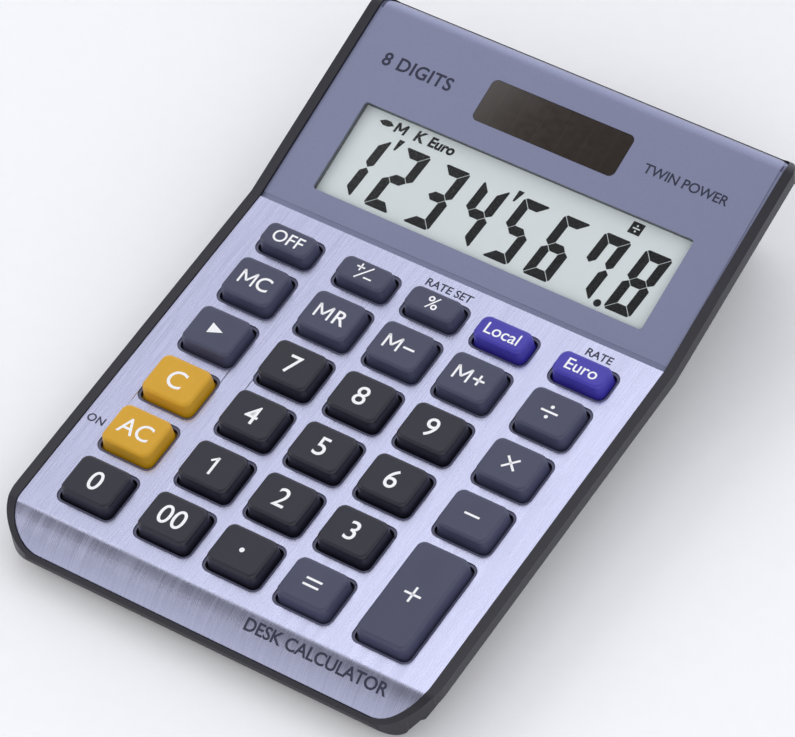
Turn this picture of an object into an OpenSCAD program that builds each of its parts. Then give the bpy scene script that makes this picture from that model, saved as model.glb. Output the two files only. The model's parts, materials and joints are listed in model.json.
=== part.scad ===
// Desk calculator: a wedge case with sprung keys, a liquid crystal display and a solar cell.
// Millimetres. X runs across the keys, +Y towards the display, +Z up from the desk.

/* [Case] */
// Width over the rims
case_w = 103; // [102:1:106]
// Height of the key face above the desk, at the middle of the depth
face_z = 14; // [13.5:0.5:15]
// Slope of the key face
key_slope = 3.2; // [2.8:0.2:3.6]
// Slope of the display face
display_slope = 16; // [15:0.5:17]
// Depth of the dark edge round the panels, from its top to the parting line
skirt = 2.9; // [2.7:0.1:3.1]
// Width of the dark rim beside the panels
rim = 2.3; // [2:0.1:2.6]
// Wall thickness of the lower case
wall = 1.5; // [1.2:0.1:1.8]
// How far the lower case leans in for each millimetre down
lean = 0.6; // [0.5:0.05:0.65]

/* [Key face] */
// Distance up the face from the middle of the depth to the groove
groove_v = 21.7; // [21.5:0.1:22.5]
// Centre to centre of the middle key columns
column_pitch = 16.85; // [16.8:0.05:17]
// Centre to centre from a middle column to an outer one
outer_pitch = 18.85; // [18.6:0.05:19]
// Centre to centre of the key rows
row_pitch = 14.15; // [14:0.05:14.2]
// Distance down the face from the middle of the depth to the front of the first row
first_row_v = 61.9; // [61.5:0.1:62.2]
// Width of a key hole
hole_w = 14.2; // [14:0.1:14.4]
// Depth of a key hole, front to back
hole_d = 12.2; // [12:0.1:12.4]
// Depth of a hole in the short top row
short_d = 8.2; // [8:0.1:8.4]
// Distance up the face to the front of the short row
short_row_v = 8.8; // [8.6:0.1:9]

/* [Keys] */
// Height of a key top above the key face
key_h = 3.05; // [2.6:0.05:3.2]
// Gap between a key and its hole
key_gap = 0.3; // [0.25:0.05:0.35]
// How far a key travels
travel = 1.2; // [0.8:0.1:1.2]

/* [Display] */
// Width of the display window
window_w = 80.2; // [79:0.2:81]
// Depth of the display window, front to back
window_d = 22; // [21:0.2:23]
// Width of the solar window
solar_w = 34.6; // [34:0.2:36]
// Depth of the solar window
solar_d = 10.2; // [9.8:0.2:10.6]

/* [Hidden] */
KEYS = [
    ["key_0", 0, 5], ["key_00", 1, 5], ["key_point", 2, 5], ["key_equals", 3, 5], ["key_plus", 4, 5],
    ["key_all_clear", 0, 4], ["key_1", 1, 4], ["key_2", 2, 4], ["key_3", 3, 4],
    ["key_clear", 0, 3], ["key_4", 1, 3], ["key_5", 2, 3], ["key_6", 3, 3], ["key_minus", 4, 3],
    ["key_shift", 0, 2], ["key_7", 1, 2], ["key_8", 2, 2], ["key_9", 3, 2], ["key_times", 4, 2],
    ["key_memory_clear", 0, 1], ["key_memory_recall", 1, 1], ["key_memory_minus", 2, 1],
    ["key_memory_plus", 3, 1], ["key_divide", 4, 1],
    ["key_off", 0, 0], ["key_sign", 1, 0], ["key_percent", 2, 0], ["key_local", 3, 0], ["key_euro", 4, 0]
];
FINE = 48;
SMALL = 24;
eps = 0.01;
// Taller than the whole case, for columns and cuts right through
tall = 40;

// Desk level and floor of the lower case
foot_h = 1;
floor_z = foot_h + 1.2;

// Rolled front edge: a tight crease, then a long curve down to the lip
crease_v = 65;
crease_r = 4;
crease_turn = 16;
lip_r = 13.8;
lip_turn = 50;
nose_turn = 53;
// Rolled back edge of the display face
back_v = 48.9;
back_r = 3.3;
back_turn = 84;
skirt_turn = 92;
groove_drop = 0.28;

// Layers under the two faces, as depths below the surface
rim_proud = 0.3;
plate_t = 0.6;
coin_depth = 0.25;
deck_under = 1.6;
panel_t = 1;
display_deck_under = 2;
cavity_depth = 8;
keys_cavity_front = 64.5;
cut_clear = 0.1;

// Plan shape
front_corner = 11;
back_corner = 5;
least_back_corner = 1.5;
corner_ease = 0.5;
front_y = -73.2;
back_y = 73.2;
panel_front_inset = 0.7;
panel_back_inset = 0.4;
back_skirt_z = 23.5;
back_skirt_t = 2.6;
part_gap = 0.1;

// Key parts
ledge = 0.6;
corner = 2.2;
flange_top = 1.7;
flange_t = 0.7;
flange_out = 0.8;
dome_top = flange_top + flange_t;
dome_spare = 0.3;
mat_top = dome_top + travel + dome_spare;
mat_t = 0.5;
board_top = mat_top + mat_t;
board_t = 1;
board_w = 90;
board_front = -63.5;
board_back = 20.5;
mat_back = 16.9;
post_d = 4.2;
post_root = 0.05;
// Steps at the top of a cap: how much narrower and rounder each is, its depth down and its thickness
key_steps = [[1.5, 0.4, 0, 0.4], [0.7, 0.2, 0.35, 0.9]];
key_body_drop = 1.2;
key_wall = 1.4;
key_roof = 1.6;

// Display parts
window_v = 17.2;
solar_v = 38.7;
window_drop = 0.5;
panel_lip = 0.85;
panel_lip_front = 1.15;
panel_lip_drop = 0.2;
lens_t = 1;
lens_rim = 1.5;

// Boss and screw places
board_boss_x = column_pitch + outer_pitch / 2;
board_boss_v = [-33.6, 8];
board_boss_d = 3.2;
case_screw_places = [[31, -65], [33.5, 20.6], [33, 64]];
case_boss_d = 5;
boss_bottom_z = floor_z + 2;
foot_places = [[36, -61], [24, 62]];
cell_y = 47;
cell_x = -18;
cell_r = 5.8;
cell_h = 5.4;
cell_z = floor_z + 0.6;
lead_r = 0.35;

// Screws and feet
case_pilot_d = 1.7;
case_shank_d = 1.66;
case_clear_d = 2.3;
case_bite = 3.2;
case_head_d = 3.8;
case_head_t = 1.2;
head_seat = 1.6;
head_gap = 0.4;
board_pilot_d = 1.2;
board_clear_d = 1.6;
foot_d = 8.8;
foot_recess = 0.5;
boss_gap = 1.6;

// ---- helpers --------------------------------------------------------------------------------

groove_y = groove_v * cos(key_slope);
groove_z = face_z + groove_v * sin(key_slope) - groove_drop;

function from_keys(p) = [
    p[0] * cos(key_slope) - p[1] * sin(key_slope),
    face_z + p[0] * sin(key_slope) + p[1] * cos(key_slope)
];
function from_display(p) = [
    groove_y + p[0] * cos(display_slope) - p[1] * sin(display_slope),
    groove_z + p[0] * sin(display_slope) + p[1] * cos(display_slope)
];
// Points of the front roll, at a depth under the surface, from the crease to a turn at the lip
lip_centre = [
    -crease_v + (lip_r - crease_r) * sin(crease_turn),
    -crease_r - (lip_r - crease_r) * cos(crease_turn)
];
function front_roll(depth, end_turn) = concat(
    [for (i = [0:3]) let (t = crease_turn * i / 4)
        [-crease_v - (crease_r - depth) * sin(t), -crease_r + (crease_r - depth) * cos(t)]],
    [for (i = [0:8]) let (t = crease_turn + (end_turn - crease_turn) * i / 8)
        lip_centre + (lip_r - depth) * [-sin(t), cos(t)]]
);
// Points of the back roll, from flat to a turn
function back_roll(depth, end_turn) = [for (i = [0:8]) let (t = end_turn * i / 8)
    [back_v + (back_r - depth) * sin(t), -back_r + (back_r - depth) * cos(t)]];
function reversed(list) = [for (i = [len(list) - 1:-1:0]) list[i]];
// The bent surface of the whole top, front lip to back edge, at one depth
function top_curve(depth, lip_end, back_end) = concat(
    [for (p = reversed(front_roll(depth, lip_end))) from_keys(p)],
    [from_keys([groove_v, -depth])],
    [for (p = back_roll(depth, back_end)) from_display(p)]
);

module across(w) {
    rotate([90, 0, 90]) linear_extrude(w, center = true) children();
}
module on_keys() {
    translate([0, 0, face_z]) rotate([key_slope, 0, 0]) children();
}
module on_display() {
    translate([0, groove_y, groove_z]) rotate([display_slope, 0, 0]) children();
}
// Flat rounded rectangle about the origin
module round_rect(w, d, r) {
    square([w - 2 * r, d], center = true);
    square([w, d - 2 * r], center = true);
    for (x = [-1, 1], y = [-1, 1])
        translate([x * (w / 2 - r), y * (d / 2 - r)]) circle(r, $fn = SMALL);
}
// Rounded block whose top is at height top
module block(w, d, r, top, thick) {
    translate([0, 0, top - thick]) linear_extrude(thick) round_rect(w, d, r);
}
// Plan outline with straight sides, drawn in by separate amounts at the sides, front and back
module plan(side, front, back) {
    rf = front_corner - max(side - corner_ease, front);
    rb = back_corner - min(max(side, back), back_corner - least_back_corner);
    w = case_w - 2 * side;
    y0 = front_y + front;
    y1 = back_y - back;
    translate([-w / 2 + rf, y0]) square([w - 2 * rf, rf + 1]);
    translate([-w / 2, y0 + rf]) square([w, y1 - y0 - rf - rb]);
    translate([-w / 2 + rb, y1 - rb - 1]) square([w - 2 * rb, rb + 1]);
    for (x = [-1, 1]) {
        translate([x * (w / 2 - rf), y0 + rf]) circle(rf, $fn = FINE);
        translate([x * (w / 2 - rb), y1 - rb]) circle(rb, $fn = FINE);
    }
}
module column(inset) {
    translate([0, 0, -1]) linear_extrude(tall) plan(inset, inset, inset);
}
// Column over a panel: in by the rim at the sides, and nearly to the edge at front and back
module panel_column(grow) {
    translate([0, 0, -1]) linear_extrude(tall)
        plan(rim - grow, panel_front_inset - grow, panel_back_inset - grow);
}
// Everything outside a side face that leans in below a depth under one of the two top faces
module side_waste(depth, inset) {
    for (side = [0, 1]) mirror([side, 0, 0])
        translate([case_w / 2 - inset, 0, -depth]) rotate([0, atan(lean), 0])
            translate([0, -130, -80]) cube([60, 260, 160]);
}
// A straight run of wire from a to b
module wire(a, b, r) {
    d = b - a;
    translate(a) rotate([0, acos(d[2] / norm(d)), atan2(d[1], d[0])])
        cylinder(r = r, h = norm(d), $fn = 16);
}
// Straight runs joined by a slightly fuller ball at each bend
module wire_path(points, r) {
    for (i = [0:len(points) - 2]) wire(points[i], points[i + 1], r);
    for (i = [1:len(points) - 2]) translate(points[i]) sphere(1.2 * r, $fn = 16);
}

// ---- key layout -------------------------------------------------------------------------------

function column_x(c) = sign(c - 2) *
    (abs(c - 2) == 2 ? column_pitch + outer_pitch : abs(c - 2) * column_pitch);
function row_v(r) = r == 0 ? short_row_v + short_d / 2 : -first_row_v + (5 - r) * row_pitch + hole_d / 2;
function key_depth(k) = k[2] == 0 ? short_d : (k[0] == "key_plus" ? hole_d + row_pitch : hole_d);
function key_v(k) = row_v(k[2]) + (k[0] == "key_plus" ? row_pitch / 2 : 0);

module at_key(k) {
    on_keys() translate([column_x(k[1]), key_v(k), 0]) children();
}
function key_colour(k) =
    (k[0] == "key_all_clear" || k[0] == "key_clear") ? "goldenrod" :
    (k[0] == "key_local" || k[0] == "key_euro") ? "slateblue" :
    (k[1] > 0 && k[1] < 4 && k[2] > 1 && k[0] != "key_equals") || k[0] == "key_0" ? "#2f2e38" : "#5a5c72";

// A cap with stepped sides, hollow underneath, with a flange and one or two posts on the domes
module key(i) {
    k = KEYS[i];
    w = hole_w - 2 * ledge - 2 * key_gap;
    d = key_depth(k) - 2 * ledge - 2 * key_gap;
    r = corner - ledge;
    color(key_colour(k)) at_key(k) {
        difference() {
            union() {
                for (s = key_steps) block(w - s[0], d - s[0], r - s[1], key_h - s[2], s[3]);
                block(w, d, r, key_h - key_body_drop, key_h - key_body_drop + flange_top + eps);
                block(w + 2 * flange_out, d + 2 * flange_out, r, -flange_top, flange_t);
            }
            block(w - 2 * key_wall, d - 2 * key_wall, r - ledge,
                key_h - key_roof, key_h - key_roof + dome_top + eps);
        }
        for (y = post_places(k))
            translate([0, y, -dome_top])
                cylinder(d = post_d, h = dome_top + key_h - key_roof + post_root, $fn = SMALL);
    }
}
function post_places(k) = k[0] == "key_plus" ? [-row_pitch / 2, row_pitch / 2] : [0];

// ---- case -------------------------------------------------------------------------------------

// Cross-section of the bent slab between two depths under the top surface
module slab(top, bottom, lip_end, back_end) {
    across(case_w + 10)
        polygon(concat(top_curve(top, lip_end, back_end), reversed(top_curve(bottom, lip_end, back_end))));
}
module nose() {
    centre = (skirt - rim_proud) / 2;
    p = from_keys(lip_centre + (lip_r - centre) * [-sin(nose_turn), cos(nose_turn)]);
    across(case_w + 10) translate(p) circle(skirt / 2, $fn = SMALL);
}
module back_skirt() {
    across(case_w + 10) polygon(concat(
        [for (p = back_roll(-rim_proud, skirt_turn)) from_display(p)],
        [[back_y, back_skirt_z], [back_y - back_skirt_t, back_skirt_z]],
        [from_display([back_v, rim_proud - skirt])]
    ));
}
// Everything under the top surface at one depth
module under_top(depth) {
    across(case_w + 10) polygon(concat(
        top_curve(depth, lip_turn, back_turn),
        [[back_y - 2, -1], [front_y + 4, -1]]
    ));
}
module key_holes(grow, top, thick) {
    for (k = KEYS) at_key(k)
        block(hole_w + 2 * grow, key_depth(k) + 2 * grow, corner + grow, top, thick);
}
module at_board_bosses() {
    for (x = [-1, 1], v = board_boss_v) on_keys() translate([x * board_boss_x, v, 0]) children();
}
module at_case_screws() {
    for (x = [-1, 1], p = case_screw_places) translate([x * p[0], p[1], 0]) children();
}
module board_bosses() {
    at_board_bosses() translate([0, 0, -board_top])
        cylinder(d = board_boss_d, h = board_top - deck_under + eps, $fn = SMALL);
}
module case_bosses() {
    intersection() {
        at_case_screws() translate([0, 0, boss_bottom_z]) cylinder(d = case_boss_d, h = tall, $fn = SMALL);
        under_top(panel_t + 0.3);
    }
}
// Open space under the two decks
module under_decks() {
    on_keys() translate([-case_w / 2, -keys_cavity_front, -cavity_depth])
        cube([case_w, keys_cavity_front + groove_v + 2, cavity_depth - deck_under]);
    on_display() translate([-case_w / 2, -0.4, -cavity_depth])
        cube([case_w, back_v - 0.6, cavity_depth - display_deck_under]);
}

module upper_case() {
    color("#2b2a33") difference() {
        union() {
            difference() {
                intersection() {
                    union() {
                        slab(-rim_proud, skirt - rim_proud, nose_turn, back_turn);
                        nose();
                        back_skirt();
                    }
                    column(0);
                }
                intersection() {
                    under_decks();
                    column(rim + 1);
                }
            }
            board_bosses();
            case_bosses();
        }
        // seats for the two panels
        intersection() {
            slab(-2, plate_t, lip_turn, back_turn);
            panel_column(cut_clear);
            on_keys() translate([-case_w, -100, -20]) cube([2 * case_w, 100 + groove_v, 40]);
        }
        intersection() {
            across(case_w) polygon(concat(
                [from_display([0, -panel_t]), from_display([0, 2])],
                [for (p = back_roll(-2, back_turn)) from_display(p)],
                [for (p = reversed(back_roll(panel_t, back_turn))) from_display(p)]
            ));
            panel_column(cut_clear);
        }
        key_holes(-ledge, 1, 5);
        at_board_bosses() translate([0, 0, -board_top - 1])
            cylinder(d = board_pilot_d, h = board_top + 1 - deck_under - 0.3, $fn = SMALL);
        at_case_screws() cylinder(d = case_pilot_d, h = boss_bottom_z + case_bite, $fn = SMALL);
        on_display() {
            translate([0, window_v])
                block(window_w + 2 * lens_rim + 1, window_d + 2 * lens_rim + 1, 1, 1, 6);
            translate([0, solar_v]) block(solar_w + 1.4, solar_d + 1.4, 1, 1, 6);
        }
    }
}

// Side view of the lower case
tub_front = -68.4;
corner_z = 5.4;
tub_profile = concat(
    [for (p = reversed(front_roll(skirt - rim_proud + part_gap, 40))) from_keys(p)],
    [from_keys([groove_v, rim_proud - skirt - part_gap])],
    [from_display([back_v - 0.8, rim_proud - skirt - part_gap])],
    [[back_y - back_skirt_t - part_gap, back_skirt_z - part_gap], [back_y - 0.2, back_skirt_z - part_gap]],
    [[back_y - 1.3, foot_h + 1.6], [back_y - 2.8, foot_h], [tub_front, foot_h]]
);
// Side view of the space inside it
hollow_profile = [
    [tub_front + 1.8, floor_z], [tub_front + 0.9, 5.4], [tub_front + 0.9, 40],
    [back_y - back_skirt_t - part_gap, 40], [back_y - 1.3 - wall - 0.6, floor_z]
];
// Everything outside a plane across each front corner that leans in below the skirt
module corner_waste(inset) {
    reach = front_corner - inset;
    for (side = [0, 1]) mirror([side, 0, 0])
        translate([case_w / 2 - front_corner, front_y + front_corner, corner_z]) rotate(-45)
            translate([reach, 0, 0]) rotate([0, 45, 0]) translate([0, -40, -40]) cube([40, 80, 80]);
}
module leaning_sides(inset) {
    difference() {
        intersection() {
            children();
            column(inset + 0.15);
        }
        on_keys() side_waste(skirt - rim_proud, inset + 0.15);
        on_display() side_waste(skirt - rim_proud, inset + 0.15);
        corner_waste(inset + 0.6);
    }
}
module lower_case() {
    color("#25242c") difference() {
        union() {
            difference() {
                leaning_sides(0) across(case_w + 10) polygon(tub_profile);
                leaning_sides(wall) across(case_w + 10) polygon(hollow_profile);
            }
            at_case_screws() translate([0, 0, foot_h])
                cylinder(d = case_boss_d + 1, h = boss_bottom_z - foot_h, $fn = SMALL);
        }
        at_case_screws() translate([0, 0, -1]) {
            cylinder(d = case_clear_d, h = tall, $fn = SMALL);
            cylinder(d = case_head_d + head_gap, h = foot_h + 1 + head_seat, $fn = SMALL);
        }
        for (x = [-1, 1], p = foot_places) translate([x * p[0], p[1], 0])
            cylinder(d = foot_d + 0.2, h = foot_h + foot_recess, $fn = SMALL);
    }
}
module rubber_feet() {
    color("#1c1c1e") for (x = [-1, 1], p = foot_places) translate([x * p[0], p[1], 0]) {
        cylinder(d = foot_d, h = foot_h + foot_recess, $fn = FINE);
    }
}
module case_screws() {
    color("silver") at_case_screws() {
        difference() {
            translate([0, 0, foot_h + head_seat - case_head_t])
                cylinder(d = case_head_d, h = case_head_t, $fn = SMALL);
            for (turn = [0, 90]) rotate(turn) translate([-1.1, -0.25, foot_h]) cube([2.2, 0.5, 1]);
        }
        translate([0, 0, foot_h + head_seat]) cylinder(d = case_shank_d, h = 4.6, $fn = SMALL);
    }
}

// ---- faces ------------------------------------------------------------------------------------

module keyboard_plate() {
    color("#b9bad2") difference() {
        intersection() {
            across(case_w) polygon(concat(
                [from_keys([groove_v - cut_clear, 0])],
                [for (p = front_roll(0, lip_turn - 0.3)) from_keys(p)],
                [for (p = reversed(front_roll(plate_t, lip_turn - 0.3))) from_keys(p)],
                [from_keys([groove_v - cut_clear, -plate_t])]
            ));
            panel_column(0);
        }
        key_holes(0, 1, 1 + coin_depth);
        key_holes(-ledge, 1, 5);
    }
}
// Painted sheet with a lowered border, a step for the window and an opening over the solar cell
module display_panel() {
    color("#9c9dc2") difference() {
        intersection() {
            across(case_w) polygon(concat(
                [from_display([0.15, -panel_t]), from_display([0.15, -panel_lip_drop])],
                [from_display([panel_lip_front, -panel_lip_drop]), from_display([panel_lip_front + 0.1, 0])],
                [for (p = back_roll(0, back_turn - 1)) from_display(p)],
                [for (p = reversed(back_roll(panel_t, back_turn - 1))) from_display(p)]
            ));
            panel_column(0);
        }
        difference() {
            slab(-2, panel_lip_drop, lip_turn, back_turn + 2);
            panel_column(-panel_lip);
            on_display() translate([-case_w, -60, -20]) cube([2 * case_w, 60, 40]);
        }
        on_display() {
            translate([0, window_v]) block(window_w, window_d, 0.8, 1, 4);
            translate([0, window_v])
                block(window_w + 2 * lens_rim + 0.2, window_d + 2 * lens_rim + 0.2, 1.2, -window_drop, 4);
            translate([0, solar_v]) block(solar_w, solar_d, 1.4, 1, 4);
        }
    }
}
module display_window() {
    color("lightcyan", 0.4) on_display() translate([0, window_v])
        block(window_w + 2 * lens_rim, window_d + 2 * lens_rim, 1.1, -window_drop, lens_t);
}
module solar_window() {
    color("#3a2c28") on_display() translate([0, solar_v]) {
        block(solar_w - 0.1, solar_d - 0.1, 1.35, -0.05, panel_t - 0.05 + eps);
        block(solar_w + 1.2, solar_d + 1.2, 1, -panel_t, 0.6);
    }
}

// ---- display stack ----------------------------------------------------------------------------

lcd_w = 80;
lcd_d = 22;
lcd_top = window_drop + lens_t + 0.1;
film_t = 0.2;
glass_t = 0.7;
module lcd_layer(extra_w, extra_d, shift, top, thick) {
    on_display() translate([0, window_v + shift]) translate([0, 0, -top - thick])
        linear_extrude(thick) square([lcd_w + extra_w, lcd_d + extra_d], center = true);
}
module lcd_polariser() {
    color("#d8e6e4") lcd_layer(0, 0, 0, lcd_top, film_t);
}
module lcd_front_glass() {
    color("lightgrey") lcd_layer(2.4, 2.4, 0, lcd_top + film_t, glass_t);
}
module lcd_rear_glass() {
    color("grey") lcd_layer(2.4, 4.4, -1, lcd_top + film_t + glass_t, glass_t);
}
module lcd_reflector() {
    color("silver") lcd_layer(0, 0, 0, lcd_top + film_t + 2 * glass_t, film_t);
}
// Tray that glues up under the deck and carries the glass
module lcd_holder() {
    floor_n = -lcd_top - 3.2;
    front_v = window_v - 15.2;
    color("dimgray") on_display() difference() {
        translate([-lcd_w / 2 - 4, front_v, floor_n]) cube([lcd_w + 8, 29.6, -floor_n - display_deck_under]);
        translate([0, window_v - 1, -lcd_top - 1.6])
            linear_extrude(4) square([lcd_w + 2.6, lcd_d + 4.6], center = true);
        translate([0, window_v, -lcd_top - 2.2])
            linear_extrude(4) square([lcd_w + 0.4, lcd_d + 0.4], center = true);
        translate([-ribbon_w / 2 - 0.5, front_v - 1, -lcd_top - 1.1]) cube([ribbon_w + 1, 3, 4]);
    }
}
ribbon_w = 58;
ribbon_t = 0.16;
// One flat piece of ribbon in the side view, round at both ends
module strip(a, b) {
    d = b - a;
    translate(a) rotate(atan2(d[1], d[0])) translate([0, -ribbon_t / 2]) square([norm(d), ribbon_t]);
    for (p = [a, b]) translate(p) circle(d = ribbon_t, $fn = 16);
}
// From the ledge of the rear glass, out through the front of the tray and down to the board
module heat_seal_ribbon() {
    path = [
        from_display([window_v - 12.5, ribbon_t / 2 + 0.01 - lcd_top - 0.9]),
        from_display([window_v - 15.5, ribbon_t / 2 + 0.01 - lcd_top - 0.9]),
        from_keys([board_back - 0.4, ribbon_t / 2 + 0.01 - board_top]),
        from_keys([mat_back + 0.4, ribbon_t / 2 + 0.01 - board_top])
    ];
    color("tan") across(ribbon_w) for (i = [0:2]) strip(path[i], path[i + 1]);
}
module solar_cell() {
    color("#2a1d1a") on_display() translate([0, solar_v, -panel_t - 0.6 - 1.1])
        linear_extrude(1.1) square([solar_w, solar_d], center = true);
}
function display_place(x, v, n) = let (p = from_display([v, n])) [x, p[0], p[1]];
function keys_place(x, v, n) = let (p = from_keys([v, n])) [x, p[0], p[1]];
module solar_leads() {
    for (side = [-1, 1]) color(side < 0 ? "black" : "red") wire_path([
        display_place(side * 12, solar_v, -panel_t - 1.7 - lead_r - 0.02),
        display_place(side * 42, solar_v, -5.2),
        display_place(side * 43.2, 6, -7.6), keys_place(side * 40, 16, lead_under_board)
    ], lead_r);
}

// ---- electronics ------------------------------------------------------------------------------

lead_under_board = -board_top - board_t - lead_r - 0.03;
module circuit_board() {
    color("darkgreen") difference() {
        on_keys() translate([-board_w / 2, board_front, -board_top - board_t])
            cube([board_w, board_back - board_front, board_t]);
        at_board_bosses() translate([0, 0, -10]) cylinder(d = board_clear_d, h = 10, $fn = SMALL);
        at_case_screws() cylinder(d = case_boss_d + boss_gap, h = tall, $fn = SMALL);
    }
}
module under_board(x, v) {
    on_keys() translate([x, v, -board_top - board_t]) mirror([0, 0, 1]) children();
}
module chip_blob() {
    color("black") under_board(6, -6) intersection() {
        translate([0, 0, -8.4]) sphere(10, $fn = FINE);
        cylinder(d = 14, h = 4, $fn = FINE);
    }
}
module capacitor() {
    color("darkblue") under_board(-14, 12) {
        cylinder(d = 4.2, h = 5.6, $fn = SMALL);
        cylinder(d = 4.6, h = 0.8, $fn = SMALL);
    }
}
module resistors() {
    color("saddlebrown") for (i = [0:3]) under_board(18 + 4 * i, 2)
        translate([-1, -0.6, 0]) cube([2, 1.2, 0.6]);
}
module rubber_mat() {
    color("gainsboro") difference() {
        union() {
            on_keys() translate([-44.5, board_front + 0.5, -board_top])
                cube([89, mat_back - board_front - 0.5, mat_t]);
            for (k = KEYS, y = post_places(k)) at_key(k) translate([0, y, -mat_top])
                cylinder(d1 = 7.4, d2 = 4.8, h = mat_top - dome_top, $fn = SMALL);
        }
        for (k = KEYS, y = post_places(k)) at_key(k) translate([0, y, -board_top - eps])
            cylinder(d1 = 6.4, d2 = 3.8, h = mat_t + mat_top - dome_top - 0.5, $fn = SMALL);
        at_board_bosses() translate([0, 0, -10]) cylinder(d = board_boss_d + 0.4, h = 10, $fn = SMALL);
        at_case_screws() cylinder(d = case_boss_d + boss_gap, h = tall, $fn = SMALL);
    }
}
module board_screws() {
    color("silver") at_board_bosses() translate([0, 0, -board_top - board_t - 0.8]) {
        cylinder(d = 2.6, h = 0.8, $fn = SMALL);
        cylinder(d = 1.16, h = 0.8 + board_t + 2, $fn = SMALL);
    }
}

// ---- button cell --------------------------------------------------------------------------------

module at_cell() {
    translate([cell_x, cell_y, 0]) children();
}
module cell_holder() {
    color("ivory") at_cell() difference() {
        translate([0, 0, floor_z])
            cylinder(d = 2 * cell_r + 3.4, h = cell_z - floor_z + cell_h - 0.1, $fn = FINE);
        translate([0, 0, cell_z]) cylinder(d = 2 * cell_r + 0.3, h = 7, $fn = FINE);
        translate([0, -2.5, cell_z]) cube([12, 5, 9]);
    }
}
module button_cell() {
    color("silver") at_cell() {
        translate([0, 0, cell_z + 0.3]) cylinder(r = cell_r - 0.9, h = 1, $fn = FINE);
        translate([0, 0, cell_z + 1.2]) cylinder(r = cell_r, h = cell_h - 1.2, $fn = FINE);
    }
}
module cell_base_contact() {
    color("gold") at_cell() {
        translate([-3, -1.6, cell_z + 0.02]) cube([13, 3.2, 0.26]);
        translate([9.74, -1.6, cell_z + 0.02]) cube([0.26, 3.2, 4]);
    }
}
module cell_top_contact() {
    top = cell_z + cell_h + 0.02;
    color("gold") at_cell() {
        translate([-9, -1.5, top]) cube([13, 3, 0.26]);
        translate([-9.26, -1.5, floor_z + 0.02]) cube([0.26, 3, top - floor_z + 0.24]);
    }
}
module cell_leads() {
    color("red") wire_path([[cell_x - 9.26 - lead_r - 0.03, cell_y, 4], [cell_x - 12, cell_y - 14, 5],
        keys_place(-26, 16, lead_under_board)], lead_r);
    color("black") wire_path([[cell_x + 10 + lead_r + 0.03, cell_y, 5], [cell_x + 12, cell_y - 14, 5],
        keys_place(-4, 16, lead_under_board)], lead_r);
}

// ---- the assembly -------------------------------------------------------------------------------

for (i = [0:len(KEYS) - 1]) key(i);
upper_case();
lower_case();
keyboard_plate();
display_panel();
display_window();
solar_window();
lcd_polariser();
lcd_front_glass();
lcd_rear_glass();
lcd_reflector();
lcd_holder();
heat_seal_ribbon();
solar_cell();
solar_leads();
circuit_board();
chip_blob();
capacitor();
resistors();
rubber_mat();
board_screws();
case_screws();
rubber_feet();
cell_holder();
button_cell();
cell_base_contact();
cell_top_contact();
cell_leads();
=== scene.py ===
"""Looks of a small desk calculator: brushed plate, painted display face, moulded case and keys."""

import json
import math

import bmesh
import bpy
from mathutils import Matrix, Vector


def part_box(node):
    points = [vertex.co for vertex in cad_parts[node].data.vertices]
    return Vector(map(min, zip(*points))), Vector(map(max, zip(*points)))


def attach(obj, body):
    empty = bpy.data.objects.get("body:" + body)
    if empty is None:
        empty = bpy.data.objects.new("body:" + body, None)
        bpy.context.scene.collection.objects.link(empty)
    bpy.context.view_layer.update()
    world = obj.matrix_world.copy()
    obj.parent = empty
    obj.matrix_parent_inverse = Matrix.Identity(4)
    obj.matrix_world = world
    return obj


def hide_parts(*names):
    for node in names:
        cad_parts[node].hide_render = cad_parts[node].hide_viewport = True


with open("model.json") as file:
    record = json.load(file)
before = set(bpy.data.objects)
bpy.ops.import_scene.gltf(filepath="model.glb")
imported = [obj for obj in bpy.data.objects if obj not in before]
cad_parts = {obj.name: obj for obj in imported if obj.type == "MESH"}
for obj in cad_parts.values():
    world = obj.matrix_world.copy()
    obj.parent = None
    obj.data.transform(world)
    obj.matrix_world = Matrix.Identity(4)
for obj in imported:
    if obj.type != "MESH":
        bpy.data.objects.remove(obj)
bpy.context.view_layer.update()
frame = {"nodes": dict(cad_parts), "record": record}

MM = 0.001

# The two faces of the case, in the shared frame: the key face and the steeper display face
KEY_SLOPE = math.radians(3.2)
KEY_FACE = Matrix.Translation((0, 0, 14 * MM)) @ Matrix.Rotation(KEY_SLOPE, 4, "X")
DISPLAY_SLOPE = math.radians(16)
GROOVE = KEY_FACE @ Vector((0, 21.7 * MM, 0)) - Vector((0, 0, 0.28 * MM))
DISPLAY_FACE = Matrix.Translation(GROOVE) @ Matrix.Rotation(DISPLAY_SLOPE, 4, "X")
KEY_TOP = 3.05
PRINT_H = 0.012
# A key cap, in millimetres: its foot under the face, its draft, its rounding and its hidden flange
CAP_FOOT = -1.75
CAP_SINK = 0.03
DRAFT = 0.5
UPRIGHT_R = 1.75
SHOULDER_R = 0.75
FLANGE_OUT = 0.8
FLANGE_T = 0.7
FLANGE_DEPTH = 2.05
FLANGE_EASE = 0.02
SOLE_T = 0.6
# Depth of the coined ledge round each key hole, in millimetres
COIN_DEPTH = 0.25
# Distance between the lines of the solar cell
CELL_PITCH = 8.6 * MM
# Height of a capital as a share of the lettering size
CAP_RATIO = 0.682

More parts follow.
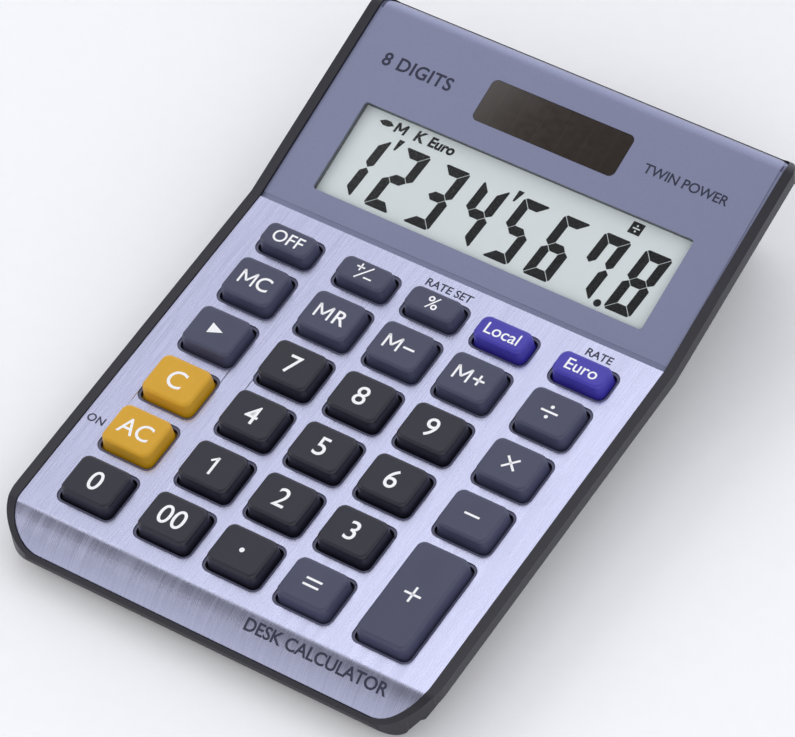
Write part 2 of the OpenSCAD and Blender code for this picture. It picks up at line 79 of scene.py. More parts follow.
ROWS = [
    ["key_off", "key_sign", "key_percent", "key_local", "key_euro"],
    ["key_memory_clear", "key_memory_recall", "key_memory_minus", "key_memory_plus", "key_divide"],
    ["key_shift", "key_7", "key_8", "key_9", "key_times"],
    ["key_clear", "key_4", "key_5", "key_6", "key_minus"],
    ["key_all_clear", "key_1", "key_2", "key_3", "key_plus"],
    ["key_0", "key_00", "key_point", "key_equals"],
]
LEGENDS = {
    "key_off": ("OFF", 2.9), "key_local": ("Local", 2.7), "key_euro": ("Euro", 2.7),
    "key_clear": ("C", 4.2), "key_all_clear": ("AC", 3.8), "key_percent": ("%", 3.0),
    "key_0": ("0", 4.4), "key_00": ("00", 4.4),
}
MEMORY = {"key_memory_clear": "C", "key_memory_recall": "R", "key_memory_minus": "-",
          "key_memory_plus": "+"}
for digit in range(2, 10):
    LEGENDS[f"key_{digit}"] = (str(digit), 4.4)


# ---- small helpers --------------------------------------------------------------------------

def colour(code):
    """Linear colour with alpha from an sRGB hex code."""
    parts = [int(code[i:i + 2], 16) / 255 for i in (0, 2, 4)]
    linear = [c / 12.92 if c <= 0.04045 else ((c + 0.055) / 1.055) ** 2.4 for c in parts]
    return (*linear, 1.0)


def add(tree, kind, sockets=None, **settings):
    """Adds a node, sets its properties and fills or links its input sockets."""
    node = tree.nodes.new(kind)
    for name, value in settings.items():
        setattr(node, name, value)
    for name, value in (sockets or {}).items():
        if isinstance(value, bpy.types.NodeSocket):
            tree.links.new(value, node.inputs[name])
        else:
            node.inputs[name].default_value = value
    return node


def new_surface(name):
    """A material with only a Principled shader and an output, and its Object coordinates."""
    mat = bpy.data.materials.new(name)
    mat.use_nodes = True
    tree = mat.node_tree
    tree.nodes.clear()
    shader = add(tree, "ShaderNodeBsdfPrincipled")
    add(tree, "ShaderNodeOutputMaterial", {"Surface": shader.outputs["BSDF"]})
    place = add(tree, "ShaderNodeTexCoord").outputs["Object"]
    return mat, tree, shader, place


def set_shader(shader, **values):
    """Sets constants straight on the shader's sockets."""
    for name, value in values.items():
        shader.inputs[name.replace("_", " ")].default_value = value


def grains(tree, place, size, detail=2.0, stretch=(1, 1, 1), rough=0.5):
    """Noise whose spots are about size metres across, stretched along an axis if asked."""
    grid = add(tree, "ShaderNodeMapping", {"Vector": place, "Scale": [s / size for s in stretch]})
    return add(tree, "ShaderNodeTexNoise", {"Vector": grid.outputs[0], "Scale": 1.0, "Detail": detail,
                                           "Roughness": rough}).outputs["Fac"]


def spread(tree, fac, low, high):
    """Noise from its usual middle range to low and high."""
    return add(tree, "ShaderNodeMapRange", {"Value": fac, "From Min": 0.3, "From Max": 0.7,
                                            "To Min": low, "To Max": high}).outputs["Result"]


def blend(tree, fac, first, second):
    """Colour from first to second by fac."""
    mix = add(tree, "ShaderNodeMix", {"Factor": fac}, data_type="RGBA")
    mix.inputs[6].default_value = colour(first)
    mix.inputs[7].default_value = colour(second)
    return mix.outputs[2]


def raise_by(tree, shader, height, depth, strength=1.0):
    """Bump of a real depth in metres."""
    bump = add(tree, "ShaderNodeBump", {"Height": height, "Distance": depth, "Strength": strength})
    tree.links.new(bump.outputs["Normal"], shader.inputs["Normal"])


# ---- finishes -------------------------------------------------------------------------------

def moulded_abs(name, base, worn, rough, grain=0.25 * MM, depth=0.012 * MM):
    """ABS moulded in a spark-eroded tool: an even satin face with a fine grain that softens light."""
    mat, tree, shader, place = new_surface(name)
    broad = grains(tree, place, 9 * MM, 3)
    fine = grains(tree, place, grain, 3)
    tree.links.new(blend(tree, spread(tree, broad, 0.2, 0.8), base, worn), shader.inputs["Base Color"])
    tree.links.new(spread(tree, fine, rough - 0.05, rough + 0.06), shader.inputs["Roughness"])
    raise_by(tree, shader, fine, depth)
    return mat


def brushed_aluminium():
    """Anodised aluminium brushed front to back: fine streaks in tone and gloss along the sheet."""
    mat, tree, shader, place = new_surface("brushed_anodised_aluminium")
    # real brush lines are about 0.05 mm apart, drawn here 0.25 mm apart so that they show
    lines = grains(tree, place, 0.25 * MM, 4, (1, 0.02, 0.02), 0.65)
    wide = grains(tree, place, 2.2 * MM, 3, (1, 0.05, 0.05))
    tone = blend(tree, spread(tree, lines, 0.0, 1.0), "b8bad3", "c8cae3")
    tree.links.new(tone, shader.inputs["Base Color"])
    both = add(tree, "ShaderNodeMath", {0: lines, 1: wide}, operation="ADD")
    half = add(tree, "ShaderNodeMath", {0: both.outputs[0], 1: 0.5}, operation="MULTIPLY")
    tree.links.new(spread(tree, half.outputs[0], 0.22, 0.32), shader.inputs["Roughness"])
    set_shader(shader, Metallic=1.0)
    raise_by(tree, shader, lines, 0.003 * MM, 0.5)
    return mat


def lavender_paint():
    """Satin paint with fine metal flake on a formed sheet: soft gloss and a faint sparkle."""
    mat, tree, shader, place = new_surface("satin_lavender_flake_paint")
    flake = grains(tree, place, 0.22 * MM, 2)
    drift = grains(tree, place, 16 * MM, 2)
    tone = blend(tree, spread(tree, flake, 0.25, 0.75), "7f839f", "8d91af")
    tree.links.new(tone, shader.inputs["Base Color"])
    tree.links.new(spread(tree, drift, 0.36, 0.44), shader.inputs["Roughness"])
    set_shader(shader, Metallic=0.35, Coat_Weight=0.15, Coat_Roughness=0.25)
    raise_by(tree, shader, flake, 0.004 * MM, 0.5)
    return mat


def gloss_sheet(name, base, deep, rough=0.12, size=2 * MM):
    """A polished plastic sheet, with a slow change of tone so that it doesn't look like one fill."""
    mat, tree, shader, place = new_surface(name)
    drift = grains(tree, place, size, 3)
    tree.links.new(blend(tree, spread(tree, drift, 0.0, 1.0), base, deep), shader.inputs["Base Color"])
    tree.links.new(spread(tree, drift, rough, rough + 0.05), shader.inputs["Roughness"])
    return mat


def solar_film():
    """Amorphous silicon behind a tinted window: dark brown with faint cell lines across it."""
    mat, tree, shader, place = new_surface("tinted_solar_window")
    wave = add(tree, "ShaderNodeTexWave", {"Vector": place, "Scale": 0.5 / CELL_PITCH,
                                          "Distortion": 0.0}, bands_direction="X")
    line = add(tree, "ShaderNodeMapRange", {"Value": wave.outputs["Fac"],
                                            "From Min": 0.97, "From Max": 1.0})
    speck = grains(tree, place, 1.5 * MM, 3)
    base = blend(tree, line.outputs[0], "2a211a", "30271f")
    both = add(tree, "ShaderNodeMix", {"Factor": spread(tree, speck, 0.0, 0.35)}, data_type="RGBA")
    tree.links.new(base, both.inputs[6])
    both.inputs[7].default_value = colour("2f2521")
    tree.links.new(both.outputs[2], shader.inputs["Base Color"])
    tree.links.new(spread(tree, speck, 0.07, 0.11), shader.inputs["Roughness"])
    return mat


def clear_sheet(name, alpha, base="e6eeee", deep="dfe8e8"):
    """A thin polished acrylic or glass sheet: seen through, with a soft reflection."""
    mat, tree, shader, place = new_surface(name)
    haze = grains(tree, place, 6 * MM, 2)
    tree.links.new(spread(tree, haze, 0.04, 0.08), shader.inputs["Roughness"])
    tree.links.new(blend(tree, haze, base, deep), shader.inputs["Base Color"])
    set_shader(shader, Alpha=alpha, IOR=1.49)
    return mat


def soft_rubber(name, base, worn):
    """Matt rubber with a fine bloom."""
    mat, tree, shader, place = new_surface(name)
    bloom = grains(tree, place, 1.2 * MM, 4)
    tree.links.new(blend(tree, bloom, base, worn), shader.inputs["Base Color"])
    tree.links.new(spread(tree, bloom, 0.62, 0.8), shader.inputs["Roughness"])
    raise_by(tree, shader, bloom, 0.02 * MM)
    return mat


def plated_metal(name, base, worn, rough):
    """Plated or rolled metal: a satin face with small scuffs."""
    mat, tree, shader, place = new_surface(name)
    scuff = grains(tree, place, 0.5 * MM, 4)
    tree.links.new(blend(tree, scuff, base, worn), shader.inputs["Base Color"])
    tree.links.new(spread(tree, scuff, rough - 0.06, rough + 0.1), shader.inputs["Roughness"])
    set_shader(shader, Metallic=1.0)
    return mat


def printed_ink(name, base, worn, rough=0.5):
    """Screen-printed ink: a thin even film, very slightly mottled."""
    mat, tree, shader, place = new_surface(name)
    mottle = grains(tree, place, 0.4 * MM, 3)
    tree.links.new(blend(tree, mottle, base, worn), shader.inputs["Base Color"])
    tree.links.new(spread(tree, mottle, rough - 0.05, rough + 0.05), shader.inputs["Roughness"])
    return mat


case_abs = moulded_abs("dark_case_abs", "1b1a22", "201f28", 0.4)
base_abs = moulded_abs("dark_base_abs", "1a1920", "201f26", 0.52, 0.4 * MM, 0.02 * MM)
plate_metal = brushed_aluminium()
panel_paint = lavender_paint()
charcoal = moulded_abs("charcoal_key_abs", "171624", "1c1b2b", 0.42, 0.18 * MM, 0.004 * MM)
slate = moulded_abs("slate_key_abs", "3c3e56", "43455e", 0.42, 0.18 * MM, 0.004 * MM)
gold = moulded_abs("gold_key_abs", "d29c10", "dba61c", 0.42, 0.18 * MM, 0.004 * MM)
violet = moulded_abs("violet_key_abs", "3a31a4", "433ab0", 0.38, 0.18 * MM, 0.004 * MM)
# the ledge grey is partly the ledge's own darker tone, partly painted shade cast by the keys
ledge_grey_and_shade = moulded_abs("grey_ledge_with_painted_shade", "5d5e78", "676883", 0.5, 0.3 * MM, 0.006 * MM)
# near-black painted shade on the wall of the small step round each key hole, drawn with the ink finish
step_shade_line = printed_ink("painted_step_shade_line", "15141b", "1b1a22", 0.6)
white_ink = printed_ink("white_key_ink", "f4f4f6", "fafafa", 0.45)
navy_ink = printed_ink("navy_panel_ink", "20233b", "292c45")
lcd_black = printed_ink("lcd_dark_segment", "08090b", "101114", 0.3)
KEY_FINISH = {"key_charcoal": charcoal, "key_slate": slate, "key_gold": gold, "key_violet": violet}


# ---- pieces ---------------------------------------------------------------------------------

def finish_piece(name, bm, mat, body, smooth_angle=30):
    """Turns a bmesh into a piece that rides on a body."""
    mesh = bpy.data.meshes.new(name)
    bm.to_mesh(mesh)
    bm.free()
    mesh.materials.append(mat)
    obj = bpy.data.objects.new(name, mesh)
    bpy.context.scene.collection.objects.link(obj)
    for poly in mesh.polygons:
        poly.use_smooth = True
    mesh.set_sharp_from_angle(angle=math.radians(smooth_angle))
    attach(obj, body)
    return obj


def even_shading(obj):
    """Flat faces keep their own direction and only the narrow rounded edges turn."""
    steady = obj.modifiers.new("steady_normals", "WEIGHTED_NORMAL")
    steady.keep_sharp = True
    steady.weight = 100


def welded(node, width, sharp=32):
    """A merged copy of a CAD node with its triangles joined and its sharp edges slightly rounded."""
    bm = bmesh.new()
    bm.from_mesh(frame["nodes"][node].data)
    bmesh.ops.remove_doubles(bm, verts=bm.verts, dist=2e-6)
    bmesh.ops.dissolve_degenerate(bm, edges=bm.edges, dist=2e-6)
    bmesh.ops.dissolve_limit(bm, angle_limit=math.radians(0.4), verts=bm.verts, edges=bm.edges)
    if width:
        edges = [e for e in bm.edges if len(e.link_faces) == 2
                 and e.calc_face_angle(0) > math.radians(sharp) and e.calc_length() > 1.2 * width]
        bmesh.ops.bevel(bm, geom=edges, offset=width, offset_type="OFFSET", affect="EDGES", segments=2,
                        profile=0.5, material=-1, clamp_overlap=True)
    return bm


def slot_of(node):
    """The record's material slot of a CAD node."""
    for part in frame["record"]["subparts"]:
        if part["node"] == node:
            return part["material_slot"]


def key_middle(node):
    """The point on the key face over the middle of a key, in millimetres across and up the face."""
    low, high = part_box(node)
    middle_y = (low[1] + high[1]) / 2 / MM
    return (low[0] + high[0]) / 2 / MM, (middle_y - FLANGE_DEPTH * math.sin(KEY_SLOPE)) / math.cos(KEY_SLOPE)


def key_size(node):
    """Width and depth of the cap above its flange, in millimetres."""
    low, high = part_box(node)
    depth = ((high[1] - low[1]) / MM - FLANGE_T * math.sin(KEY_SLOPE)) / math.cos(KEY_SLOPE)
    return (high[0] - low[0]) / MM - 2 * FLANGE_OUT, depth - 2 * FLANGE_OUT


def scale_about(bm, verts, sx, sy):
    """Widens or narrows part of a shape about the origin."""
    bmesh.ops.scale(bm, vec=(sx, sy, 1), verts=verts)


def pull(bm, faces):
    """Extrudes faces in place and returns the new faces and their corners, ready to be moved."""
    made = bmesh.ops.extrude_face_region(bm, geom=faces)["geom"]
    left = [f for f in faces if f.is_valid]
    if left:
        bmesh.ops.delete(bm, geom=left, context="FACES_ONLY")
    new_faces = [g for g in made if isinstance(g, bmesh.types.BMFace)]
    return new_faces, [g for g in made if isinstance(g, bmesh.types.BMVert)]


def make_cap(node):
    """A key cap: drafted sides, well rounded corners and a soft shoulder, on a hidden flange."""
    w, d = key_size(node)
    x, v = key_middle(node)
    low, top = CAP_FOOT, KEY_TOP - CAP_SINK
    bm = bmesh.new()
    bmesh.ops.create_cube(bm, size=1)
    bmesh.ops.scale(bm, vec=(w, d, top - low), verts=bm.verts)
    bmesh.ops.translate(bm, vec=(0, 0, (top + low) / 2), verts=bm.verts)
    upper = [p for p in bm.verts if p.co.z > 0]
    scale_about(bm, upper, (w - DRAFT) / w, (d - DRAFT) / d)
    uprights = [e for e in bm.edges if abs(e.verts[0].co.z - e.verts[1].co.z) > 1]
    bmesh.ops.bevel(bm, geom=uprights, offset=UPRIGHT_R, offset_type="OFFSET", affect="EDGES", segments=6,
                    profile=0.5, material=-1)
    rim_edges = [e for e in bm.edges if e.verts[0].co.z > top - 0.01 and e.verts[1].co.z > top - 0.01]
    bmesh.ops.bevel(bm, geom=rim_edges, offset=SHOULDER_R, offset_type="OFFSET", affect="EDGES", segments=4,
                    profile=0.5, material=-1)
    bm.normal_update()
    under = [f for f in bm.faces if f.normal.z < -0.9]
    flange, rim = pull(bm, under)
    grow = 2 * FLANGE_OUT - FLANGE_EASE
    scale_about(bm, rim, (w + grow) / w, (d + grow) / d)
    rim = pull(bm, flange)[1]
    bmesh.ops.translate(bm, vec=(0, 0, -SOLE_T), verts=rim)
    bmesh.ops.recalc_face_normals(bm, faces=bm.faces)
    place = KEY_FACE @ Matrix.Translation((x * MM, v * MM, 0)) @ Matrix.Scale(MM, 4)
    bmesh.ops.transform(bm, matrix=place, verts=bm.verts)
    slot = slot_of(node)
    obj = finish_piece(node + "_moulding", bm, KEY_FINISH[slot], node + "_cap", 40)
    even_shading(obj)
    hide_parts(node)
    return obj


def outline(bm, points, lift=0.0):
    """One flat face from its corners, in millimetres."""
    return bm.faces.new([bm.verts.new((p[0], p[1], lift)) for p in points])


def letters(words, cap_height, weight=0.0, spacing=1.0):
    """Flat letters about the origin, in millimetres."""
    curve = bpy.data.curves.new("words", "FONT")
    curve.body = words
    curve.align_x = "CENTER"
    curve.size = cap_height / CAP_RATIO
    curve.offset = weight
    curve.space_character = spacing
    curve.resolution_u = 5
    holder = bpy.data.objects.new("words", curve)
    bpy.context.scene.collection.objects.link(holder)
    mesh = bpy.data.meshes.new_from_object(holder)
    bpy.data.objects.remove(holder)
    bpy.data.curves.remove(curve)
    bm = bmesh.new()
    bm.from_mesh(mesh)
    bpy.data.meshes.remove(mesh)
    bmesh.ops.remove_doubles(bm, verts=bm.verts, dist=1e-4)
    bmesh.ops.translate(bm, vec=(0, -cap_height / 2, 0), verts=bm.verts)
    for face in bm.faces:
        if face.normal.z < 0:
            face.normal_flip()
    return bm


def bars(*boxes):
    """Flat bars, each a centre, a width, a height and a turn in degrees, in millimetres."""
    bm = bmesh.new()
    for x, y, w, h, turn in boxes:
        made = bmesh.ops.create_grid(bm, x_segments=1, y_segments=1, size=0.5)["verts"]
        bmesh.ops.scale(bm, vec=(w, h, 1), verts=made)
        bmesh.ops.rotate(bm, cent=(0, 0, 0), matrix=Matrix.Rotation(math.radians(turn), 3, "Z"), verts=made)
        bmesh.ops.translate(bm, vec=(x, y, 0), verts=made)
    return bm


def dot(bm, x, y, radius):
    """Adds a flat disc."""
    made = bmesh.ops.create_circle(bm, cap_ends=True, segments=20, radius=radius)["verts"]
    bmesh.ops.translate(bm, vec=(x, y, 0), verts=made)


def letter_m(bm, x, height, stroke):
    """A capital M from four strokes, with its left foot at x."""
    width = height * 0.92
    slope = math.degrees(math.atan2(height * 0.72, width / 2))
    run = math.hypot(height * 0.72, width / 2)
    for side in (0, 1):
        post = bars((x + side * width, 0, stroke, height, 0))
        arm = bars((x + width * (0.25 + side * 0.5), height * 0.14, run, stroke, slope * (2 * side - 1)))
        for part in (post, arm):
            join(bm, part)
    return width


def join(bm, part):
    """Adds the faces of one flat shape to another."""
    mesh = bpy.data.meshes.new("part")
    part.to_mesh(mesh)
    part.free()
    bm.from_mesh(mesh)
    bpy.data.meshes.remove(mesh)


def memory_shape(second, height, stroke):
    """M with a second mark, centred together."""
    bm = bmesh.new()
    width = letter_m(bm, -height * 0.98, height, stroke)
    x = height * 0.62
    if second in "CR":
        part = letters(second, height, stroke * 0.1)
        bmesh.ops.translate(part, vec=(x, 0, 0), verts=part.verts)
    elif second == "+":
        part = bars((x, 0, width * 0.85, stroke, 0), (x, 0, stroke, width * 0.85, 0))
    else:
        part = bars((x, 0, width * 0.85, stroke, 0))
    join(bm, part)
    return bm


def legend_shape(node):
    """The mark on a key, flat about the origin, in millimetres."""
    if node == "key_sign":
        bm = bars((-1.35, 1.0, 1.9, 0.38, 0), (-1.35, 1.0, 0.38, 1.9, 0), (0, 0, 4.6, 0.36, 52),
                  (1.45, -1.1, 1.9, 0.38, 0))
    elif node == "key_divide":
        bm = bars((0, 0, 3.9, 0.5, 0))
        dot(bm, 0, 1.3, 0.42)
        dot(bm, 0, -1.3, 0.42)
    elif node == "key_times":
        bm = bars((0, 0, 4.0, 0.5, 45), (0, 0, 4.0, 0.5, -45))
    elif node == "key_minus":
        bm = bars((0, 0, 3.5, 0.5, 0))
    elif node == "key_plus":
        bm = bars((0, 0, 3.8, 0.52, 0), (0, 0, 0.52, 3.8, 0))
    elif node == "key_equals":
        bm = bars((0, 0.75, 3.7, 0.5, 0), (0, -0.75, 3.7, 0.5, 0))
    elif node == "key_point":
        bm = bmesh.new()
        dot(bm, 0, 0, 0.55)
    elif node in MEMORY:
        bm = memory_shape(MEMORY[node], 3.4, 0.5)
    elif node == "key_1":
        bm = bars((0.25, 0, 0.6, 4.4, 0), (-0.42, 1.45, 1.6, 0.5, 40))
    elif node == "key_shift":
        bm = bmesh.new()
        outline(bm, [(-1.5, -1.35), (1.7, 0), (-1.5, 1.35)])
    else:
        words, cap_height = LEGENDS[node]
        bm = letters(words, cap_height, 0.03)
    for face in bm.faces:
        if face.normal.z < 0:
            face.normal_flip()
    return bm


def make_legend(node):
    """The white mark printed on top of a key."""
    bm = legend_shape(node)
    x, v = key_middle(node)
    place = KEY_FACE @ Matrix.Translation((x * MM, v * MM, (KEY_TOP - CAP_SINK + PRINT_H) * MM))
    bmesh.ops.transform(bm, matrix=place @ Matrix.Scale(MM, 4), verts=bm.verts)
    return finish_piece(node + "_legend", bm, white_ink, node + "_cap")


for row in ROWS:
    for key in row:
        make_cap(key)
        make_legend(key)


# ---- marks on the two faces -----------------------------------------------------------------

def print_on(name, bm, face, x, v, lift, mat):
    """Lays flat marks on one of the two faces."""
    place = face @ Matrix.Translation((x * MM, v * MM, lift * MM)) @ Matrix.Scale(MM, 4)
    bmesh.ops.transform(bm, matrix=place, verts=bm.verts)
    return finish_piece(name, bm, mat, "case")


# Name, words, capital height, weight, spacing, face, and place across and up that face
WORDS = [
    ("plate_word_on", "ON", 1.8, 0.05, 1.05, KEY_FACE, -46.3, -41.7),
    ("plate_word_rate_set", "RATE SET", 1.8, 0.05, 1.0, KEY_FACE, -0.4, 18.9),
    ("plate_word_rate", "RATE", 1.8, 0.05, 1.0, KEY_FACE, 35.7, 18.9),
    ("panel_word_digits", "8 DIGITS", 2.9, 0.09, 1.06, DISPLAY_FACE, -33.4, 38.6),
    ("panel_word_power", "TWIN POWER", 2.15, 0.05, 0.97, DISPLAY_FACE, 32.2, 38.4),
]
for name, words, cap_height, weight, spacing, face, across, up in WORDS:
    print_on(name, letters(words, cap_height, weight, spacing), face, across, up, PRINT_H, navy_ink)

CREASE_V, CREASE_R, CREASE_TURN, LIP_R = 65.0, 4.0, math.radians(16), 13.8


def over_the_front(arc):
    """Place on the rolled front, in the key face's own (v, n), at a distance past the crease."""
    first = CREASE_R * CREASE_TURN
    if arc < first:
        t = arc / CREASE_R
        return -CREASE_V - CREASE_R * math.sin(t), -CREASE_R + CREASE_R * math.cos(t), t
    t = CREASE_TURN + (arc - first) / LIP_R
    centre_v = -CREASE_V + (LIP_R - CREASE_R) * math.sin(CREASE_TURN)
    centre_n = -CREASE_R - (LIP_R - CREASE_R) * math.cos(CREASE_TURN)
    return centre_v - LIP_R * math.sin(t), centre_n + LIP_R * math.cos(t), t


def front_words(words, x, arc_middle, cap_height):
    """Letters printed on the rolled front, cut into strips so that they follow the curve."""
    bm = letters(words, cap_height, 0.07, 0.98)
    for i in range(-5, 6):
        geom = bm.verts[:] + bm.edges[:] + bm.faces[:]
        bmesh.ops.bisect_plane(bm, geom=geom, plane_co=(0, i * 0.34, 0), plane_no=(0, 1, 0))
    for p in bm.verts:
        v, n, t = over_the_front(arc_middle - p.co.y)
        lift = PRINT_H + 0.012
        spot = Vector(((x + p.co.x) * MM, (v - lift * math.sin(t)) * MM, (n + lift * math.cos(t)) * MM))
        p.co = KEY_FACE @ spot
    return finish_piece("front_words", bm, navy_ink, "case")


front_words("DESK CALCULATOR", 25.0, 3.0, 2.55)


# ---- liquid crystal display -----------------------------------------------------------------

DIGIT_W, DIGIT_H, STROKE, SLANT, GAP = 6.35, 15.1, 2.1, 0.129, 0.09
DIGIT_PITCH, LAST_DIGIT_X, DIGIT_V = 9.763, 29.5, 7.95


def segment_shapes():
    """Corners of the seven segments of an upright digit, from its lower left corner."""
    w, h, s, g, c = DIGIT_W, DIGIT_H, STROKE, GAP, 0.55
    m = h / 2
    top = [(c + g, h), (w - c - g, h), (w - c / 2 - g, h - c / 2), (w - s - g, h - s), (s + g, h - s),
           (c / 2 + g, h - c / 2)]
    upper_left = [(0, h - c - g), (c / 2, h - c / 2 - g), (s, h - s - g), (s, m + s / 2 + g),
                  (s / 2, m + g), (0, m + s * 0.4)]
    middle = [(s / 2 + g, m), (s + g, m + s / 2), (w - s - g, m + s / 2), (w - s / 2 - g, m),
              (w - s - g, m - s / 2), (s + g, m - s / 2)]

    def flip_x(shape):
        return [(w - px, py) for px, py in shape]

    def flip_y(shape):
        return [(px, h - py) for px, py in shape]

    return {"a": top, "b": flip_x(upper_left), "c": flip_x(flip_y(upper_left)), "d": flip_y(top),
            "e": flip_y(upper_left), "f": upper_left, "g": middle}


SEGMENTS = segment_shapes()
LIT = {"1": "bc", "2": "abdeg", "3": "abcdg", "4": "bcfg", "5": "acdfg", "6": "acdefg", "7": "abcf",
       "8": "abcdefg"}


def slanted(x, y):
    """Leans a point to the right, as the digits of such a display do."""
    return x + y * SLANT, y


def lcd_marks():
    """Everything dark on the display, as one sheet of flat faces."""
    bm = bmesh.new()
    for place, digit in enumerate("12345678"):
        x0 = LAST_DIGIT_X - (7 - place) * DIGIT_PITCH
        for letter in LIT[digit]:
            corners = [slanted(*p) for p in SEGMENTS[letter]]
            outline(bm, [(x0 + px, DIGIT_V + py) for px, py in corners])
    for x in (-29.5, 0.0):
        outline(bm, [(x + 0.15, 23.9), (x + 1.5, 23.9), (x + 0.45, 21.2), (x, 21.2)])
    dot(bm, 28.1, 8.3, 0.85)
    outline(bm, [(-35.75, 26.05), (-34.6, 26.75), (-33.3, 26.75), (-32.2, 26.05),
                 (-33.4, 25.4), (-34.7, 25.4)])
    outline(bm, [(25.6, 24.75), (28.4, 24.75), (28.6, 27.5), (25.8, 27.5)])
    memory = bmesh.new()
    letter_m(memory, -1.05, 2.35, 0.55)
    signs = [(memory, -30.4), (letters("K", 2.35, 0.13), -25.7), (letters("Euro", 2.2, 0.13, 1.0), -20.2)]
    for part, x in signs:
        part.transform(Matrix(((1, SLANT, 0, x), (0, 1, 0, 26.1), (0, 0, 1, 0), (0, 0, 0, 1))))
        join(bm, part)
    for face in bm.faces:
        face.normal_update()
        if face.normal.z < 0:
            face.normal_flip()
    return bm


LCD_FACE_N = -1.6
print_on("lcd_dark_marks", lcd_marks(), DISPLAY_FACE, 0, 0, LCD_FACE_N + 0.03, lcd_black)
sign = bars((0, 0, 1.7, 0.3, 0))
dot(sign, 0, 0.65, 0.22)
dot(sign, 0, -0.65, 0.22)
lcd_film = gloss_sheet("lcd_polarising_film", "eef8f6", "f3fbfa", 0.3, 30 * MM)
print_on("lcd_light_sign", sign, DISPLAY_FACE, 27.1, 26.1, LCD_FACE_N + 0.05, lcd_film)


# ---- formed sheets and mouldings ------------------------------------------------------------

def colour_the_ledges(mesh):
    """The coined ledge round each key hole is painted a darker grey, partly its own tone and partly painted
    shade from the key over it, and the small step down to it is a dark line of painted shade.
    """
    mesh.materials.append(ledge_grey_and_shade)
    mesh.materials.append(step_shade_line)
    to_face = KEY_FACE.inverted()
    for poly in mesh.polygons:
        middle = to_face @ poly.center / MM
        up = (to_face.to_3x3() @ poly.normal).z
        # ledge faces: darker grey, partly painted shade of the key above
        if -1.6 * COIN_DEPTH < middle.z < -0.8 * COIN_DEPTH and up > 0.9 and middle.y > -CREASE_V:
            poly.material_index = 1
        # step walls: the near-black painted shade line
        elif -1.2 * COIN_DEPTH < middle.z < -0.2 * COIN_DEPTH and abs(up) < 0.2 and middle.y > -CREASE_V:
            poly.material_index = 2


for node, mat, width in (("keyboard_plate", plate_metal, 0.0), ("display_panel", panel_paint, 0.0),
                         ("upper_case", case_abs, 0.12 * MM), ("lower_case", base_abs, 0.15 * MM)):
    obj = finish_piece(node + "_finished", welded(node, width), mat, "case", 28)
    even_shading(obj)
    if node == "keyboard_plate":
        colour_the_ledges(obj.data)
    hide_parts(node)

CARRIED = {
    "display_window": clear_sheet("clear_acrylic_window", 0.06, "1c2224", "23292b"),
    "solar_window": solar_film(),
    "lcd_polariser": lcd_film,
    "lcd_front_glass": clear_sheet("lcd_glass", 0.3),
    "lcd_rear_glass": clear_sheet("lcd_back_glass", 0.3),
    "lcd_reflector": plated_metal("reflector_foil", "c9cdc9", "bfc4c0", 0.35),
    "lcd_holder": moulded_abs("grey_tray_abs", "4a4a4e", "525256", 0.5),
    "heat_seal_ribbon": gloss_sheet("amber_ribbon_film", "c7944f", "bb8742", 0.3),
    "solar_cell": gloss_sheet("solar_cell_silicon", "2a1d1a", "33241f", 0.15),
    "solar_leads": soft_rubber("lead_insulation", "7a2020", "6a1a1a"),
    "cell_leads": soft_rubber("cell_lead_insulation", "232327", "2d2d31"),
    "circuit_board": gloss_sheet("green_solder_mask", "1f5a35", "236540", 0.3),
    "chip_blob": gloss_sheet("black_epoxy_drop", "121214", "1a1a1d", 0.18),
    "capacitor": gloss_sheet("blue_sleeve", "1c2a5c", "223168", 0.3),
    "resistors": gloss_sheet("chip_ceramic", "2b2b2b", "353535", 0.4, 0.5 * MM),
    "rubber_mat": soft_rubber("grey_silicone", "c9c9c4", "bdbdb8"),
    "board_screws": plated_metal("zinc_plate", "b5b7ba", "a4a6aa", 0.32),
    "case_screws": plated_metal("black_zinc_plate", "5a5b60", "4b4c50", 0.35),
    "rubber_feet": soft_rubber("foot_rubber", "1c1c1e", "29292c"),
    "cell_holder": moulded_abs("ivory_cup_abs", "d8d6cc", "cfccc0", 0.5),
    "button_cell": plated_metal("cell_can_steel", "b9bbbe", "a9abae", 0.25),
    "cell_base_contact": plated_metal("base_contact_brass", "c9a857", "b8964a", 0.3),
    "cell_top_contact": plated_metal("top_contact_brass", "c9a857", "b8964a", 0.3),
}
for node, mat in CARRIED.items():
    mesh = frame["nodes"][node].data
    if len(mesh.materials) == 0:
        mesh.materials.append(mat)
    for i in range(len(mesh.materials)):
        mesh.materials[i] = mat


# ---- studio ---------------------------------------------------------------------------------

def make_floor():
    """A pale matt table top that carries the shadow."""
    bm = bmesh.new()
    bmesh.ops.create_grid(bm, x_segments=1, y_segments=1, size=3)
    mesh = bpy.data.meshes.new("floor")
    bm.to_mesh(mesh)
    bm.free()
    mat, tree, shader, place = new_surface("pale_floor")
    fleck = grains(tree, place, 4 * MM, 3)
    tree.links.new(blend(tree, fleck, "fbfbfc", "ffffff"), shader.inputs["Base Color"])
    set_shader(shader, Roughness=0.8)
    mesh.materials.append(mat)
    obj = bpy.data.objects.new("floor", mesh)
    bpy.context.scene.collection.objects.link(obj)


def soft_light(name, place, target, size, power, tint="ffffff"):
    """A square studio softbox aimed at a point."""
    data = bpy.data.lights.new(name, "AREA")
    data.shape = "RECTANGLE"
    data.size, data.size_y = size
    data.energy = power
    data.color = colour(tint)[:3]
    obj = bpy.data.objects.new(name, data)
    obj.location = place
    obj.rotation_euler = (Vector(target) - Vector(place)).to_track_quat("-Z", "Y").to_euler()
    bpy.context.scene.collection.objects.link(obj)


# How bright the surround is from front (0) to back (1): dim ahead of the rolls, bright behind
SKY_STOPS = [(0.2, 0.35), (0.36, 0.12), (0.5, 0.14), (0.56, 0.24), (0.66, 0.42), (0.72, 0.56), (0.84, 1.0)]


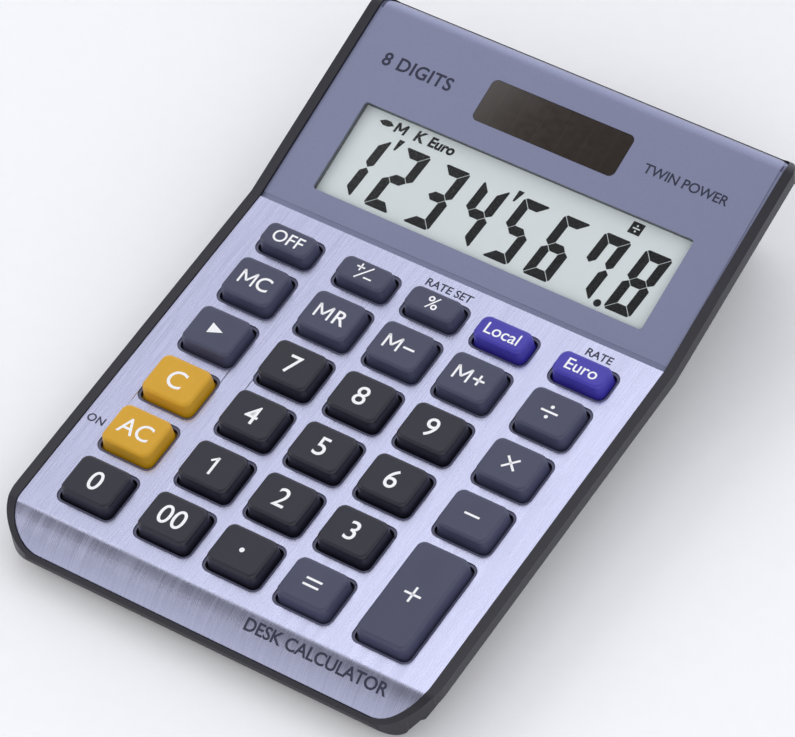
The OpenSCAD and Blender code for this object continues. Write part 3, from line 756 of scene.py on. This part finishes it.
def make_sky(strength):
    """Pale surround, bright behind and dim overhead, so that the roll and windows have dark to reflect."""
    world = bpy.data.worlds.new("studio")
    bpy.context.scene.world = world
    world.use_nodes = True
    tree = world.node_tree
    tree.nodes.clear()
    way = add(tree, "ShaderNodeTexCoord").outputs["Generated"]
    parts = add(tree, "ShaderNodeSeparateXYZ", {0: way})
    ramp = add(tree, "ShaderNodeValToRGB", {"Fac": add(tree, "ShaderNodeMapRange", {
        "Value": parts.outputs["Y"], "From Min": -1.0, "From Max": 1.0}).outputs[0]})
    stops = ramp.color_ramp.elements
    stops[0].position, stops[0].color = 0.0, (0.55, 0.55, 0.55, 1)
    stops[1].position, stops[1].color = 1.0, (1, 1, 1, 1)
    for position, level in SKY_STOPS:
        stop = stops.new(position)
        stop.color = (level, level, level, 1)
    power = add(tree, "ShaderNodeMath", {0: ramp.outputs["Color"], 1: strength}, operation="MULTIPLY")
    sky = add(tree, "ShaderNodeBackground", {"Color": colour("f2f3fa"), "Strength": power.outputs[0]})
    add(tree, "ShaderNodeOutputWorld", {"Surface": sky.outputs[0]})


make_floor()
make_sky(1.75)
soft_light("key_light", (-1.3, -0.5, 0.8), (0, 0, 0.01), (0.8, 0.8), 7)
soft_light("crease_light", (-0.47, 0.24, 1.0), (0, -0.06, 0.01), (0.7, 0.1), 0.45)
soft_light("fill_light", (0.9, -0.5, 0.7), (0, 0, 0.01), (1.2, 1.2), 5)


# ---- camera ---------------------------------------------------------------------------------

AZIMUTH, ELEVATION, ROLL = math.radians(40.972), math.radians(49.62), math.radians(-9.349)
DISTANCE, SLIDE_X, SLIDE_Y = 1.052989, 1.957 * MM, 6.718 * MM


def make_camera():
    """Looks down at the front right corner; slid sideways a little so that the lens needs no shift."""
    away = Vector((math.sin(AZIMUTH) * math.cos(ELEVATION), -math.cos(AZIMUTH) * math.cos(ELEVATION),
                   math.sin(ELEVATION)))
    right = Vector((math.cos(AZIMUTH), math.sin(AZIMUTH), 0))
    up = away.cross(right)
    side = math.cos(ROLL) * right + math.sin(ROLL) * up
    top = -math.sin(ROLL) * right + math.cos(ROLL) * up
    data = bpy.data.cameras.new("camera")
    data.sensor_width = 36
    data.sensor_fit = "HORIZONTAL"
    data.lens = 234.93
    data.clip_end = 20
    obj = bpy.data.objects.new("camera", data)
    turn = Matrix((side, top, away)).transposed().to_4x4()
    spot = away * DISTANCE - side * SLIDE_X + top * SLIDE_Y
    obj.matrix_world = Matrix.Translation(spot) @ turn
    bpy.context.scene.collection.objects.link(obj)
    bpy.context.scene.camera = obj


make_camera()
# plain colour response, so that a finish shows in its own colour
bpy.context.scene.view_settings.view_transform = "Standard"
